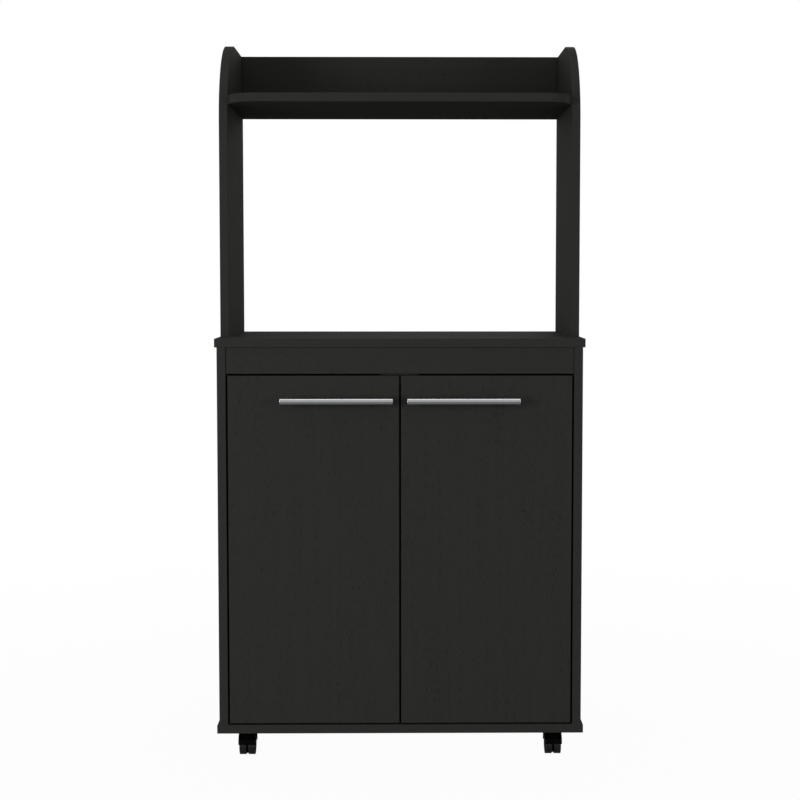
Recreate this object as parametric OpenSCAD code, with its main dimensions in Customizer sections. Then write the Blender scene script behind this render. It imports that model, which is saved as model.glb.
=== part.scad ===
// Mobile microwave cart. A two-door cabinet rolls on four hooded twin-wheel casters. Two uprights
// with round front top corners stand on its worktop and carry a round-nosed top shelf and a back
// rail. X runs across the cart, Y from front to back and Z up, and the floor is z = 0.
// Depths named *_y are measured back from the front plane of the cabinet.

/* [Boards] */
// Width of the worktop and of the base panel
worktop_w = 630; // [540:5:760]
// Depth of the worktop and of the base panel
worktop_d = 360; // [320:5:440]
// Thickness of every board
board_t = 15; // [15:0.5:19]
// How far the worktop and the base run past each side panel
side_overhang = 4; // [2:0.5:10]
// Radius of the eased long edges of a board
edge_r = 1; // [0.5:0.5:2.5]

/* [Cabinet] */
// Height of the side panels
side_h = 650; // [520:10:780]
// Height of the fixed rail over the doors
fascia_h = 45; // [36:1:80]
// How far the fascia is set back from the front plane
fascia_setback = 2; // [0:0.5:4]
// Thickness of the hardboard back
back_t = 3; // [2.5:0.5:5]
// How far the back is set in from the rear edge of the worktop
back_setback = 1; // [1:0.5:4]
// How far the back reaches over the rear edge of each side panel
back_lap = 12; // [8:1:14]
// Height of the inner shelf's underside over the base panel
inner_shelf_h = 310; // [200:5:400]
// How far the inner shelf stands back from the front plane
inner_shelf_y = 40; // [30:1:120]
// Gap between the inner shelf and each side panel
inner_shelf_gap = 2; // [2:0.5:4]

/* [Upper frame] */
// Height of the uprights
upright_h = 515; // [440:5:620]
// Depth of the uprights
upright_d = 293; // [250:1:318]
// Radius of the round front top corner of an upright
upright_r = 142; // [60:1:180]
// Clear height between the worktop and the top shelf
bay_h = 400; // [320:5:425]
// How far the nose of the top shelf stands in front of the uprights
shelf_nose = 48; // [20:1:60]
// Width of the flat land between an upright and the round corner of the nose
shelf_land = 4; // [2:0.5:10]

/* [Doors] */
// Gap round each door
door_gap = 3; // [2:0.5:4]
// Length of a handle bar
handle_len = 191; // [150:1:220]
// Diameter of a handle bar
handle_d = 12; // [10:0.5:14]
// Distance between the two posts of a handle
handle_cc = 128; // [96:1:140]
// Distance from the door's face to the front of the bar
handle_reach = 34; // [28:1:45]
// Diameter of a handle post
post_d = 9; // [7:0.5:9]
// Distance from the top of a door to the middle of its handle bar
handle_drop = 42; // [30:1:80]
// Distance from the middle of the cart to the inner end of a handle bar
handle_inset = 12; // [8:1:40]

/* [Hinges] */
// Diameter of the hinge cup
cup_d = 35; // [35:0.5:37]
// Depth of the hinge cup in the door
cup_depth = 12; // [11:0.5:12.5]
// Distance from the edge of the door to the hinge cup
cup_edge = 4.5; // [4:0.5:6]
// Wall of the pressed hinge cup
cup_wall = 1; // [0.8:0.1:1.2]
// Distance from the edge of the door to the hinge pin
pin_edge = 12; // [12:0.5:14]
// Distance from the door's face to the hinge pin
pin_y = 8; // [7.5:0.5:8.5]
// Diameter of the hinge pin
pin_d = 4; // [3:0.5:4]
// Distance from a door's end to the middle of the hinge next to it
hinge_from_end = 95; // [70:5:140]
// Thickness of the bent hinge arm
arm_t = 2.5; // [2:0.25:2.5]
// Height of the hinge arm along the pin
arm_h = 12; // [10:0.5:14]
// Thickness of the hinge mounting plate
plate_t = 2; // [1.5:0.5:2.5]

/* [Casters] */
// Diameter of a caster wheel
wheel_d = 40; // [34:1:48]
// Width of one wheel of a pair
wheel_w = 13; // [11:0.5:15]
// Height of a caster over its wheels, up to the top of its plate
over_wheel_h = 10; // [9:0.5:14]
// Distance that the axle trails behind the swivel stem
caster_trail = 12; // [10:0.5:15]
// Distance from the side edge of the base to the swivel axis
caster_inset_x = 48; // [45:0.5:70]
// Distance from the front and rear edges of the base to the swivel axis
caster_inset_y = 41; // [40:1:60]
// Thickness of the caster hood
hood_t = 2.5; // [2:0.25:3]
// Height of the hood's front lip over the floor
hood_lip_z = 22; // [16:0.5:24]
// Side of the square swivel plate
swivel_plate_w = 38; // [36:1:44]
// Diameter of the swivel stem
stem_d = 7; // [6:0.5:7]
// Diameter of the axle
axle_d = 5; // [4:0.5:6]

/* [Fasteners] */
// Length of a confirmat screw
confirmat_len = 50; // [40:1:55]
// Diameter of a dowel
dowel_d = 8; // [6:0.5:9]
// Diameter of a cam lock
cam_d = 15; // [12:0.5:15]
// Depth of a cam lock
cam_depth = 12; // [10:0.5:12.5]
// Distance from the end of a board to the middle of its cam lock
cam_reach = 24; // [20:0.5:34]
// Diameter of a shelf pin
shelf_pin_d = 5; // [4:0.5:6]

/* [Fits] */
// Radial clearance of a pin that turns in its bore
running_fit = 0.05; // [0.02:0.01:0.1]
// Radial clearance of a piece that stays in its bore
seat_fit = 0.05; // [0.02:0.01:0.2]
// Gap between faces that pass each other
pass_gap = 0.3; // [0.3:0.05:0.5]

/* [Hidden] */
$fn = 64;

// Across
edge_x = worktop_w / 2;
outer_x = edge_x - side_overhang;
inner_x = outer_x - board_t;
mid_x = outer_x - board_t / 2;

// From the front plane to the back; the origin is half way along the whole cart, handles included
front_y = (handle_reach - worktop_d) / 2;
back_y = worktop_d - back_setback - back_t;
fascia_back_y = fascia_setback + board_t;
upright_y = worktop_d - upright_d;
rail_y = worktop_d - board_t;

// Up from the floor
caster_h = wheel_d + over_wheel_h;
base_z = caster_h;
deck_z = base_z + board_t;
head_z = deck_z + side_h;
top_z = head_z + board_t;
shelf_z = top_z + bay_h;
rail_z = shelf_z + board_t;
crown_z = top_z + upright_h;
fascia_z = head_z - fascia_h;
inner_shelf_z = deck_z + inner_shelf_h;

// Doors
door_w = inner_x - 1.5 * door_gap;
door_z = deck_z + door_gap;
door_h = fascia_z - door_gap - door_z;
door_top_z = door_z + door_h;
handle_mid_x = handle_inset + handle_len / 2;
handle_z = door_top_z - handle_drop;
bar_y = handle_d / 2 - handle_reach;
bar_end_r = 0.8;
post_seat = 3;
post_end_y = bar_y + handle_d / 2 - post_seat;
handle_screw_d = 4;
handle_screw_bite = 10;
handle_head_d = 8;
handle_head_h = 2.5;
strike_w = 22;
strike_h = 12;
strike_t = 1;

// Hinges, seen from the pin: x towards the free edge of the door and y to the back
hinge_zs = [door_z + hinge_from_end, door_top_z - hinge_from_end];
pin_x = inner_x - door_gap - pin_edge;
wall_x = -(pin_edge + door_gap);
door_back = board_t - pin_y;
cup_x = cup_edge + cup_d / 2 - pin_edge;
cheek_t = 2.5;
cheek_r = 4;
knuckle_r = pin_d / 2 + 1.2;
flange_t = 1.2;
flange_lip = 2;
cup_screw_x = cup_x + 9.5;
cup_screw_z = 22.5;
cup_ear_r = 5;
cup_screw_d = 3.4;
cup_head_d = 6.5;
cup_head_h = 1.6;
cup_screw_bite = 10;
bowl_depth = max(cup_depth, door_back + knuckle_r + pass_gap + cup_wall);
elbow_gap = 2.55;
elbow_x = door_back + flange_t + elbow_gap + arm_t / 2;
elbow_back = 20;
leg_x = wall_x + plate_t + arm_t / 2;
leg_y = elbow_back + 10;
plate_y = elbow_back + 6;
plate_len = 36;
plate_h = 18;
wing_y = plate_y + plate_len / 2;
wing_len = 14;
wing_z = 16;
arm_screw_y = wing_y + 11;
arm_screw_d = 4;
arm_head_d = 7;
arm_head_h = 1.8;
plate_screw_d = 3.4;
plate_head_d = 6.5;
plate_head_h = 1.6;
plate_screw_bite = 10;
arm_path = [[0, 0], [elbow_x, 1], [elbow_x, elbow_back], [leg_x, leg_y], [leg_x, plate_y + plate_len - 3]];

// Magnet catch behind the fascia
catch_half_w = 32;
catch_d = 13;
catch_drop = 18;
catch_rise = 14;
magnet_x = 16;
magnet_w = 18;
magnet_h = 8;
magnet_seat = 3;
magnet_z = fascia_z - catch_drop + 9;
magnet_face_y = board_t + strike_t + pass_gap;
catch_screw_x = 12;
catch_screw_d = 3.4;
catch_screw_bite = 9;

// Confirmat screws point along their own +Z from the head
confirmat_head_d = 10;
confirmat_rim_h = 1.2;
confirmat_head_h = 2.7;
confirmat_shank_d = 7;
confirmat_shank_len = 12;
confirmat_core_d = 5;
confirmat_socket_d = 4.6;
confirmat_socket_depth = 2.6;
confirmat_tip = 4;
base_screw_ys = [60, worktop_d - 60];
upright_screw_ys = [upright_y + 45, worktop_d - 45];
shelf_screw_ys = [upright_y + 60, worktop_d - 70];
rail_screw_z = crown_z - 35;
cap_d = 12;
cap_t = 1;
cap_plug = 2;
base_confirmats = [for (s = [-1, 1], y = base_screw_ys) [[s * mid_x, y, base_z], [0, 0, 0]]];
upright_confirmats = [for (s = [-1, 1], y = upright_screw_ys) [[s * mid_x, y, head_z], [0, 0, 0]]];
shelf_confirmats = [for (s = [-1, 1], y = shelf_screw_ys)
    [[s * outer_x, y, shelf_z + board_t / 2], [0, -90 * s, 0]]];
rail_confirmats = [for (s = [-1, 1]) [[s * outer_x, rail_y + board_t / 2, rail_screw_z], [0, -90 * s, 0]]];

// A dowel's origin is on the joint: its short end goes down into a face, its long end up into an edge
dowel_face = 10;
dowel_edge = 20;
dowel_chamfer = 1;
base_dowel_ys = [110, worktop_d - 110];
head_dowel_ys = [130, worktop_d - 30];
base_dowels = [for (s = [-1, 1], y = base_dowel_ys) [[s * mid_x, y, deck_z], [0, 0, 0]]];
head_dowels = [for (s = [-1, 1], y = head_dowel_ys) [[s * mid_x, y, head_z], [180, 0, 0]]];
upright_dowels = [for (s = [-1, 1]) [[s * mid_x, worktop_d - upright_d / 2, top_z], [0, 0, 0]]];
fascia_dowels = [for (s = [-1, 1])
    [[s * inner_x, fascia_setback + board_t / 2, fascia_z + 11], [0, -90 * s, 0]]];
rail_dowels = [for (s = [-1, 1]) [[s * inner_x, rail_y + board_t / 2, rail_z + 25], [0, -90 * s, 0]]];

// A cam lock's +Z runs into its board and its +X runs along its bolt
cam_bolt_d = 6;
cam_neck_d = 4;
cam_ball_d = 7;
cam_ball_back = 1.5;
cam_ball_front = 2;
cam_thread_d = 5;
cam_thread_len = 11;
cam_ball_play = 0.6;
cam_slot_len = 8;
cam_slot_w = 1.4;
cam_slot_depth = 2;
head_cam_ys = [80, worktop_d - 80];
side_cams = [for (s = [-1, 1], y = head_cam_ys)
    [[s * inner_x, y, head_z - cam_reach], [0, -90, s < 0 ? 0 : 180]]];
fascia_cams = [for (s = [-1, 1])
    [[s * (inner_x - cam_reach), fascia_back_y, head_z - 13], s < 0 ? [-90, 0, 180] : [90, 0, 0]]];

// Pan-head screws: shares of the head's width or height, and the point of a wood screw
head_edge_share = 0.45;
recess_len_share = 0.56;
recess_w_share = 0.16;
recess_depth_share = 0.6;
head_root_share = 0.2;
wood_point = 3;
point_d = 0.5;

// Shelf pins and their rows of holes
shelf_pin_seat = 9;
shelf_pin_nose = 8;
shelf_pin_collar_d = 8;
shelf_pin_collar_t = 1.5;
pin_row_step = 32;
pin_rows = [-1, 0, 1];
shelf_pin_ys = [inner_shelf_y + 35, worktop_d - 45];
shelf_pin_z = inner_shelf_z - shelf_pin_d / 2;

// Nails of the back
nail_d = 1.6;
nail_head_d = 3.6;
nail_head_t = 0.6;
nail_len = 20;
nail_count = 7;
nail_margin = 25;

// Casters, seen from the swivel axis at the floor
wheel_r = wheel_d / 2;
dome_r = 180;
hood_in_r = wheel_r + 1;
hood_r = hood_in_r + hood_t;
web_t = 2.5;
web_gap = 0.3;
web_r = wheel_r - 2;
wheel_x = web_t / 2 + web_gap;
wheel_out_x = wheel_x + wheel_w;
hood_lip = 3;
hood_in_x = wheel_out_x - dome_drop(wheel_r - hood_lip) + pass_gap;
lip_t = 1;
hood_x = hood_in_x + lip_t;
hood_shoulder_r = 3;
hood_sweep = 180 + asin((wheel_r - hood_lip_z) / hood_r);
axle_boss_r = axle_d / 2 + 4;
axle_len = 2 * (wheel_out_x - 1.4);
swivel_plate_t = 2;
race_d = 18;
race_t = 1.5;
swivel_plate_z = caster_h - swivel_plate_t;
race_z = swivel_plate_z - race_t;
head_d = 18;
head_top_z = race_z - pass_gap;
head_low_z = wheel_r + sqrt(max(0, hood_r ^ 2 - (head_d / 2 + caster_trail) ^ 2)) - 0.5;
stem_end_gap = 0.5;
stem_floor_t = 1.2;
stem_z = wheel_r + sqrt(hood_in_r ^ 2 - (caster_trail - stem_d / 2) ^ 2) + stem_floor_t + stem_end_gap;
plate_hole_d = 4;
plate_hole_c = swivel_plate_w / 2 - 5;
caster_screw_d = 3.6;
caster_head_d = 7;
caster_head_h = 1.8;
caster_screw_bite = 11;
caster_x = edge_x - caster_inset_x;
caster_front_y = caster_inset_y;
caster_rear_y = worktop_d - caster_inset_y;
tread_r = 1.5;
wheel_face_t = 3;
wheel_rim_t = 4.5;
wheel_groove_r = 12;
wheel_groove_w = 1;
wheel_groove_depth = 0.8;

// Colours
laminate = "#2b2b29";
hardboard = "#4a3a2c";
satin_metal = "#b9babb";
plated = "#9a9ca0";
black_plastic = "#151516";
zinc = "#c2bfae";
beech = "#c9a26b";
brass_plate = "#b3a068";

// ---- Places -------------------------------------------------------------------------------

// Puts depths that are measured from the front plane into the cart's frame
module in_frame() {
    translate([0, front_y, 0]) children();
}

// Puts its children at each place, which is a position and a rotation
module at(places) {
    for (p = places) translate(p[0]) rotate(p[1]) children();
}

// Keeps what is drawn for the left, or mirrors it for the right
module on_side(side) {
    mirror([side > 0 ? 1 : 0, 0, 0]) children();
}

// Turns a profile's extrusion so that it runs along X: profile x becomes Y and profile y becomes Z
module along_x() {
    rotate([90, 0, 90]) children();
}

// Turns an extrusion so that it runs to the back from y = 0: profile y becomes -Z
module along_y() {
    rotate([-90, 0, 0]) children();
}

// ---- Board shapes -------------------------------------------------------------------------

module rounded_rect(size, r) {
    translate([r, 0]) square([size[0] - 2 * r, size[1]]);
    translate([0, r]) square([size[0], size[1] - 2 * r]);
    for (x = [r, size[0] - r], y = [r, size[1] - r]) translate([x, y]) circle(r);
}

// A board that lies flat: its top and bottom edges are eased all round
module flat_board(size) {
    intersection() {
        along_x() linear_extrude(size[0]) rounded_rect([size[1], size[2]], edge_r);
        translate([0, size[1], 0]) rotate([90, 0, 0])
            linear_extrude(size[1]) rounded_rect([size[0], size[2]], edge_r);
    }
}

// A board that stands facing the front: its front and back edges are eased all round
module facing_board(size) {
    intersection() {
        along_x() linear_extrude(size[0]) rounded_rect([size[1], size[2]], edge_r);
        linear_extrude(size[2]) rounded_rect([size[0], size[1]], edge_r);
    }
}

// Section through a board's edge: it runs from x = 0 out to the eased edge at x = reach
module edge_section(reach) {
    translate([0, -board_t / 2]) square([reach - edge_r, board_t]);
    translate([0, edge_r - board_t / 2]) square([reach, board_t - 2 * edge_r]);
    for (s = [-1, 1]) translate([reach - edge_r, s * (board_t / 2 - edge_r)]) circle(edge_r);
}

// Round bar along X, centred on the origin, with softened ends
module round_bar(d, length, end_r) {
    rotate([0, 90, 0]) rotate_extrude() intersection() {
        translate([-d / 2, -length / 2]) rounded_rect([d, length], end_r);
        translate([0, -length / 2]) square([d, length]);
    }
}

// ---- Fasteners ----------------------------------------------------------------------------

// Countersunk head, thick plain shank and core, without the thread
module confirmat_body(slack) {
    cylinder(d = confirmat_head_d + 2 * slack, h = confirmat_rim_h);
    translate([0, 0, confirmat_rim_h]) cylinder(d1 = confirmat_head_d + 2 * slack,
        d2 = confirmat_shank_d + 2 * slack, h = confirmat_head_h - confirmat_rim_h);
    cylinder(d = confirmat_shank_d + 2 * slack, h = confirmat_head_h + confirmat_shank_len);
    cylinder(d = confirmat_core_d + 2 * slack, h = confirmat_len - confirmat_tip);
    translate([0, 0, confirmat_len - confirmat_tip])
        cylinder(d1 = confirmat_core_d + 2 * slack, d2 = point_d + 2 * slack, h = confirmat_tip);
}

module confirmat() {
    difference() {
        confirmat_body(0);
        translate([0, 0, -1]) cylinder(d = confirmat_socket_d, h = confirmat_socket_depth + 1, $fn = 6);
    }
}

module confirmat_bore() {
    translate([0, 0, -1]) cylinder(d = confirmat_head_d + 2 * seat_fit, h = 2);
    confirmat_body(seat_fit);
}

// Press-in cover of a confirmat head, with a plug in the hex socket
module screw_cap() {
    translate([0, 0, -cap_t]) cylinder(d = cap_d, h = cap_t);
    translate([0, 0, -cap_t / 2])
        cylinder(d = confirmat_socket_d - 4 * seat_fit, h = cap_plug + cap_t / 2, $fn = 6);
}

// Rod with chamfered ends
module dowel() {
    narrow_d = dowel_d - 2 * dowel_chamfer;
    translate([0, 0, dowel_chamfer - dowel_face])
        cylinder(d = dowel_d, h = dowel_face + dowel_edge - 2 * dowel_chamfer);
    translate([0, 0, -dowel_face]) cylinder(d1 = narrow_d, d2 = dowel_d, h = dowel_chamfer);
    translate([0, 0, dowel_edge - dowel_chamfer]) cylinder(d1 = dowel_d, d2 = narrow_d, h = dowel_chamfer);
}

module dowel_bore() {
    translate([0, 0, -dowel_face - seat_fit])
        cylinder(d = dowel_d + 2 * seat_fit, h = dowel_face + dowel_edge + 2 * seat_fit);
}

// Rod along a cam lock's bolt line, from one distance to another
module bolt_rod(d, from, to) {
    translate([from, 0, board_t / 2]) rotate([0, 90, 0]) cylinder(d = d, h = to - from);
}

module cam_lock() {
    difference() {
        cylinder(d = cam_d, h = cam_depth);
        bolt_rod(cam_ball_d + cam_ball_play, -cam_ball_d / 2, cam_d);
        for (a = [0, 90]) rotate(a) translate([-cam_slot_len / 2, -cam_slot_w / 2, -1])
            cube([cam_slot_len, cam_slot_w, cam_slot_depth + 1]);
    }
}

module cam_bolt() {
    bolt_rod(cam_ball_d, -cam_ball_back, cam_ball_front);
    bolt_rod(cam_neck_d, 0, cam_d / 2 + 1);
    bolt_rod(cam_bolt_d, cam_d / 2 + 0.5, cam_reach);
    bolt_rod(cam_thread_d, cam_reach - 1, cam_reach + cam_thread_len);
}

module cam_bores() {
    translate([0, 0, -1]) cylinder(d = cam_d + 2 * seat_fit, h = cam_depth + seat_fit + 1);
    bolt_rod(cam_ball_d + 2 * seat_fit, -cam_ball_back - seat_fit, cam_reach);
    bolt_rod(cam_thread_d + 2 * seat_fit, 0, cam_reach + cam_thread_len + seat_fit);
}

// Pan-head screw: the domed head with its cross recess rises from z = 0, and the shank goes down
module pan_screw(shank_d, length, wide, high, point = 0) {
    drop = (1 - head_edge_share) * high;
    crown_r = ((wide / 2) ^ 2 + drop ^ 2) / (2 * drop);
    difference() {
        rotate_extrude() intersection() {
            translate([0, high - crown_r]) circle(crown_r);
            square([wide / 2, high]);
        }
        for (a = [0, 90]) rotate(a)
            translate([-wide * recess_len_share / 2, -wide * recess_w_share / 2, high * (1 - recess_depth_share)])
                cube([wide * recess_len_share, wide * recess_w_share, high]);
    }
    translate([0, 0, point - length]) cylinder(d = shank_d, h = length - point + head_root_share * high);
    if (point > 0) translate([0, 0, -length]) cylinder(d1 = point_d, d2 = shank_d, h = point);
}

// ---- Cabinet boards -----------------------------------------------------------------------

module caster_places() {
    for (x = [-caster_x, caster_x], y = [caster_front_y, caster_rear_y]) translate([x, y, 0]) children();
}

module plate_hole_places() {
    for (x = [-plate_hole_c, plate_hole_c], y = [-plate_hole_c, plate_hole_c])
        translate([x, y, 0]) children();
}

module base_panel() {
    color(laminate) in_frame() difference() {
        translate([-edge_x, 0, base_z]) flat_board([worktop_w, worktop_d, board_t]);
        at(base_confirmats) confirmat_bore();
        at(base_dowels) dowel_bore();
        caster_places() plate_hole_places() translate([0, 0, base_z - 1])
            cylinder(d = caster_screw_d, h = caster_screw_bite + 1);
    }
}

module worktop() {
    color(laminate) in_frame() difference() {
        translate([-edge_x, 0, head_z]) flat_board([worktop_w, worktop_d, board_t]);
        at(upright_confirmats) confirmat_bore();
        at(head_dowels) dowel_bore();
        at(upright_dowels) dowel_bore();
        at(side_cams) cam_bores();
    }
}

module shelf_pin_bores() {
    for (row = pin_rows, y = shelf_pin_ys)
        translate([-inner_x + 1, y, shelf_pin_z + row * pin_row_step]) rotate([0, -90, 0])
            cylinder(d = shelf_pin_d + 2 * seat_fit, h = shelf_pin_seat + 1 + seat_fit);
}

module hinge_pilot_bores() {
    for (z = hinge_zs, s = [-1, 1])
        translate([-inner_x + 1, pin_y + wing_y, z + s * wing_z]) rotate([0, -90, 0])
            cylinder(d = plate_screw_d, h = plate_screw_bite + 1);
}

module side_panel(side) {
    color(laminate) in_frame() difference() {
        on_side(side) difference() {
            translate([-outer_x, 0, deck_z]) linear_extrude(side_h) rounded_rect([board_t, back_y], edge_r);
            shelf_pin_bores();
            hinge_pilot_bores();
        }
        at(base_confirmats) confirmat_bore();
        at(base_dowels) dowel_bore();
        at(head_dowels) dowel_bore();
        at(fascia_dowels) dowel_bore();
        at(side_cams) cam_bores();
        at(fascia_cams) cam_bores();
    }
}

module side_panel_left() {
    side_panel(-1);
}

module side_panel_right() {
    side_panel(1);
}

module fascia_rail() {
    color(laminate) in_frame() difference() {
        translate([-inner_x, fascia_setback, fascia_z]) facing_board([2 * inner_x, board_t, fascia_h]);
        at(fascia_dowels) dowel_bore();
        at(fascia_cams) cam_bores();
        for (s = [-1, 1]) translate([s * catch_screw_x, fascia_back_y - catch_screw_bite, catch_screw_z()])
            along_y() cylinder(d = catch_screw_d, h = catch_screw_bite + 1);
    }
}

module nail_places() {
    rise = (side_h - 2 * nail_margin) / (nail_count - 1);
    for (s = [-1, 1], i = [0 : nail_count - 1])
        translate([s * (inner_x + back_lap / 2), back_y + back_t, deck_z + nail_margin + i * rise])
            rotate([-90, 0, 0]) children();
}

module back_panel() {
    half_w = inner_x + back_lap;
    color(hardboard) in_frame() difference() {
        translate([-half_w, back_y, deck_z]) cube([2 * half_w, back_t, side_h]);
        nail_places() translate([0, 0, -back_t - 1]) cylinder(d = nail_d, h = back_t + 2);
    }
}

// The nails' holes in the side panels are as thick as the nails, which are driven in
module back_panel_nails() {
    color(zinc) in_frame() nail_places() {
        cylinder(d = nail_head_d, h = nail_head_t);
        translate([0, 0, -back_t]) cylinder(d = nail_d, h = back_t + nail_head_t / 2);
    }
}

module inner_shelf() {
    half_w = inner_x - inner_shelf_gap;
    color(laminate) in_frame() translate([-half_w, inner_shelf_y, inner_shelf_z])
        flat_board([2 * half_w, back_y - inner_shelf_gap - inner_shelf_y, board_t]);
}

module shelf_pins() {
    color(plated) in_frame() for (side = [-1, 1], y = shelf_pin_ys) on_side(side)
        translate([-inner_x, y, shelf_pin_z]) rotate([0, 90, 0]) {
            translate([0, 0, -shelf_pin_seat])
                cylinder(d = shelf_pin_d, h = shelf_pin_seat + shelf_pin_collar_t + shelf_pin_nose);
            cylinder(d = shelf_pin_collar_d, h = shelf_pin_collar_t);
        }
}

// ---- Upper frame --------------------------------------------------------------------------

// The board of an upright in its own place: straight below, a quarter round in front, flat on top
module upright_board() {
    arc_z = upright_h - upright_r;
    translate([0, upright_d, 0]) rotate(-90)
        linear_extrude(arc_z) edge_section(upright_d);
    translate([0, upright_r, arc_z]) {
        along_x() rotate(90) rotate_extrude(angle = 90) edge_section(upright_r);
        translate([0, upright_d - upright_r, 0]) rotate([90, 0, 0])
            linear_extrude(upright_d - upright_r) rotate(90) edge_section(upright_r);
    }
}

module upright(side) {
    color(laminate) in_frame() difference() {
        translate([side * mid_x, upright_y, top_z]) upright_board();
        at(upright_confirmats) confirmat_bore();
        at(upright_dowels) dowel_bore();
        at(shelf_confirmats) confirmat_bore();
        at(rail_confirmats) confirmat_bore();
        at(rail_dowels) dowel_bore();
    }
}

module upright_left() {
    upright(-1);
}

module upright_right() {
    upright(1);
}

// The shelf lies between the uprights. Its nose comes out in front of them with a quarter round at
// each end, which starts from a narrow flat land beside the upright.
module top_shelf() {
    corner_x = inner_x - shelf_land - shelf_nose;
    color(laminate) in_frame() difference() {
        translate([0, upright_y, shelf_z + board_t / 2]) {
            translate([-inner_x, 0, -board_t / 2]) cube([2 * inner_x, upright_d, board_t]);
            translate([-corner_x, 0, 0]) along_x()
                linear_extrude(2 * corner_x) rotate(180) edge_section(shelf_nose);
            for (s = [-1, 1]) translate([s * corner_x, 0, 0]) rotate(s > 0 ? -90 : 180)
                rotate_extrude(angle = 90) edge_section(shelf_nose);
        }
        at(shelf_confirmats) confirmat_bore();
    }
}

module back_rail() {
    color(laminate) in_frame() difference() {
        translate([-inner_x, rail_y, rail_z]) facing_board([2 * inner_x, board_t, crown_z - rail_z]);
        at(rail_confirmats) confirmat_bore();
        at(rail_dowels) dowel_bore();
    }
}

module confirmat_screws() {
    color(plated) in_frame()
        at(concat(base_confirmats, upright_confirmats, shelf_confirmats, rail_confirmats)) confirmat();
}

module screw_caps() {
    color(black_plastic) in_frame() at(concat(shelf_confirmats, rail_confirmats)) screw_cap();
}

module cam_locks() {
    color(zinc) in_frame() at(concat(side_cams, fascia_cams)) cam_lock();
}

module cam_bolts() {
    color(plated) in_frame() at(concat(side_cams, fascia_cams)) cam_bolt();
}

module dowels() {
    color(beech) in_frame()
        at(concat(base_dowels, head_dowels, upright_dowels, fascia_dowels, rail_dowels)) dowel();
}

// ---- Hinges -------------------------------------------------------------------------------

// Puts its children at both hinges of one door, seen from the pin
module hinge_places(side) {
    on_side(side) for (z = hinge_zs) translate([-pin_x, pin_y, z]) children();
}

// Flat strip through points, with round bends and ends
module strip(points, width) {
    for (i = [1 : len(points) - 1]) {
        run = points[i] - points[i - 1];
        translate(points[i - 1]) rotate(atan2(run[1], run[0]))
            translate([0, -width / 2]) square([norm(run), width]);
        translate(points[i]) circle(d = width);
    }
}

// The arm hooks round the pin, comes out of the cup and bends back to the side panel, so that the
// door's edge can swing past inside the bend
module hinge_arm() {
    difference() {
        translate([0, 0, -arm_h / 2]) linear_extrude(arm_h) {
            circle(knuckle_r);
            strip(arm_path, arm_t);
        }
        translate([0, 0, -arm_h]) cylinder(d = pin_d + 2 * running_fit, h = 2 * arm_h);
        translate([leg_x - arm_t, arm_screw_y, 0]) rotate([0, 90, 0])
            cylinder(d = arm_screw_d + 2 * seat_fit, h = 2 * arm_t);
    }
}

module hinge_arms() {
    color(plated) in_frame() for (side = [-1, 1]) hinge_places(side) hinge_arm();
}

module hinge_plate() {
    difference() {
        translate([wall_x, 0, 0]) along_x() linear_extrude(plate_t) {
            translate([plate_y, -plate_h / 2]) square([plate_len, plate_h]);
            translate([wing_y - wing_len / 2, -wing_z]) square([wing_len, 2 * wing_z]);
            for (s = [-1, 1]) translate([wing_y, s * wing_z]) circle(d = wing_len);
        }
        for (s = [-1, 1]) translate([wall_x - 1, wing_y, s * wing_z]) rotate([0, 90, 0])
            cylinder(d = plate_screw_d + 2 * seat_fit, h = plate_t + 2);
        translate([wall_x - 1, arm_screw_y, 0]) rotate([0, 90, 0])
            cylinder(d = arm_screw_d + 2 * seat_fit, h = plate_t + 2);
    }
}

module hinge_plates() {
    color(plated) in_frame() for (side = [-1, 1]) hinge_places(side) hinge_plate();
}

module hinge_screws() {
    color(plated) in_frame() for (side = [-1, 1]) hinge_places(side) {
        for (s = [-1, 1]) translate([wall_x + plate_t, wing_y, s * wing_z]) rotate([0, 90, 0])
            pan_screw(plate_screw_d, plate_t + plate_screw_bite, plate_head_d, plate_head_h, wood_point);
        translate([leg_x + arm_t / 2, arm_screw_y, 0]) rotate([0, 90, 0])
            pan_screw(arm_screw_d, arm_t + plate_t, arm_head_d, arm_head_h);
    }
}

// The pressed cup: bowl, two cheeks that hold the pin, and a flange with two ears on the door
module hinge_cup() {
    floor_y = door_back - bowl_depth;
    difference() {
        union() {
            translate([cup_x, floor_y, 0]) along_y() difference() {
                cylinder(d = cup_d, h = bowl_depth + flange_t);
                translate([0, 0, cup_wall]) cylinder(d = cup_d - 2 * cup_wall, h = bowl_depth + flange_t);
            }
            translate([0, door_back, 0]) along_y() linear_extrude(flange_t) difference() {
                union() {
                    translate([cup_x, 0]) circle(d = cup_d + 2 * flange_lip);
                    translate([cup_screw_x - cup_ear_r, -cup_screw_z]) square([2 * cup_ear_r, 2 * cup_screw_z]);
                    for (s = [-1, 1]) translate([cup_screw_x, s * cup_screw_z]) circle(cup_ear_r);
                }
                translate([cup_x, 0]) circle(d = cup_d - 2 * cup_wall);
            }
            intersection() {
                translate([cup_x, floor_y, 0]) along_y() cylinder(d = cup_d - cup_wall, h = bowl_depth);
                for (s = [-1, 1]) translate([0, 0, s * (arm_h / 2 + pass_gap + cheek_t / 2)]) cheek(floor_y);
            }
        }
        cylinder(d = pin_d + 2 * seat_fit, h = cup_d, center = true);
        for (s = [-1, 1]) translate([cup_screw_x, door_back - 1, s * cup_screw_z]) along_y()
            cylinder(d = cup_screw_d + 2 * seat_fit, h = flange_t + 2);
    }
}

// One cheek of a cup: a plate from the cup's wall and floor to the pin
module cheek(floor_y) {
    translate([0, 0, -cheek_t / 2]) linear_extrude(cheek_t) {
        circle(cheek_r);
        translate([-cup_d, -cheek_r]) square([cup_d, 2 * cheek_r]);
        translate([-cup_d, floor_y]) square([cup_d + cheek_r, -floor_y]);
    }
}

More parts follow.
